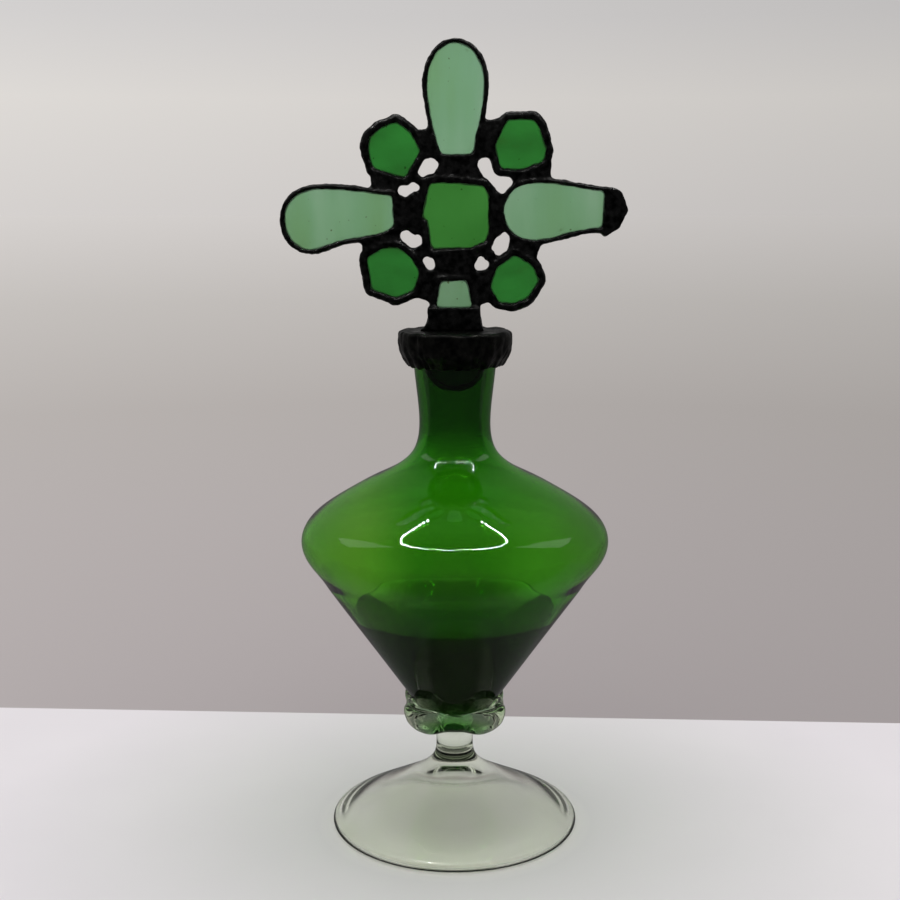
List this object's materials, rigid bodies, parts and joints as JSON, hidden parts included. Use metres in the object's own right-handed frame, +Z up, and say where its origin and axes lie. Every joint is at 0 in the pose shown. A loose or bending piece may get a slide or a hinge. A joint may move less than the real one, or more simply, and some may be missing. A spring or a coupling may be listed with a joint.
{
  "type": "scent bottle",
  "caption": "Footed blown-glass scent bottle with a conical body, closed by a stained-glass cross stopper that lifts straight out of the neck.",
  "frame": {"origin": "centre of the foot's rim, on the surface that the bottle stands on", "axes": "+Z up the bottle's axis, X along the arms of the cross, Y through the thickness of the cross"},
  "size_m": [0.1291, 0.1183, 0.3019],
  "materials": {
    "green_glass": "fire-polished blown glass",
    "clear_glass": "fire-polished blown glass",
    "perfume": "dark liquid",
    "pale_stained_glass": "streaky sheet glass",
    "deep_stained_glass": "streaky sheet glass",
    "solder": "black-patina solder over copper foil",
    "collar_metal": "black-patina sheet metal and solder"
  },
  "bodies": {
    "bottle": {"bottle_body": "green_glass", "perfume_fill": "perfume", "rigaree_collar": "clear_glass", "stem": "clear_glass", "foot": "clear_glass"},
    "stopper": {"top_petal_glass": "pale_stained_glass", "left_petal_glass": "pale_stained_glass", "right_petal_glass": "pale_stained_glass", "bottom_petal_glass": "pale_stained_glass", "centre_glass": "deep_stained_glass", "upper_left_nugget_glass": "deep_stained_glass", "upper_right_nugget_glass": "deep_stained_glass", "lower_left_nugget_glass": "deep_stained_glass", "lower_right_nugget_glass": "deep_stained_glass", "top_petal_foil": "solder", "left_petal_foil": "solder", "right_petal_foil": "solder", "bottom_petal_foil": "solder", "centre_foil": "solder", "upper_left_nugget_foil": "solder", "upper_right_nugget_foil": "solder", "lower_left_nugget_foil": "solder", "lower_right_nugget_foil": "solder", "petal_solder_joints": "solder", "nugget_solder_joints": "solder", "right_petal_tip_cap": "solder", "stem_sheath": "solder", "collar_plate": "collar_metal", "collar_bead": "collar_metal", "collar_skirt": "collar_metal"}
  },
  "joints": [
    {"name": "stopper_lift", "type": "slide", "parent": "bottle", "child": "stopper", "axis": [0, 0, 1], "range_m": [0, 0.06]}
  ]
}
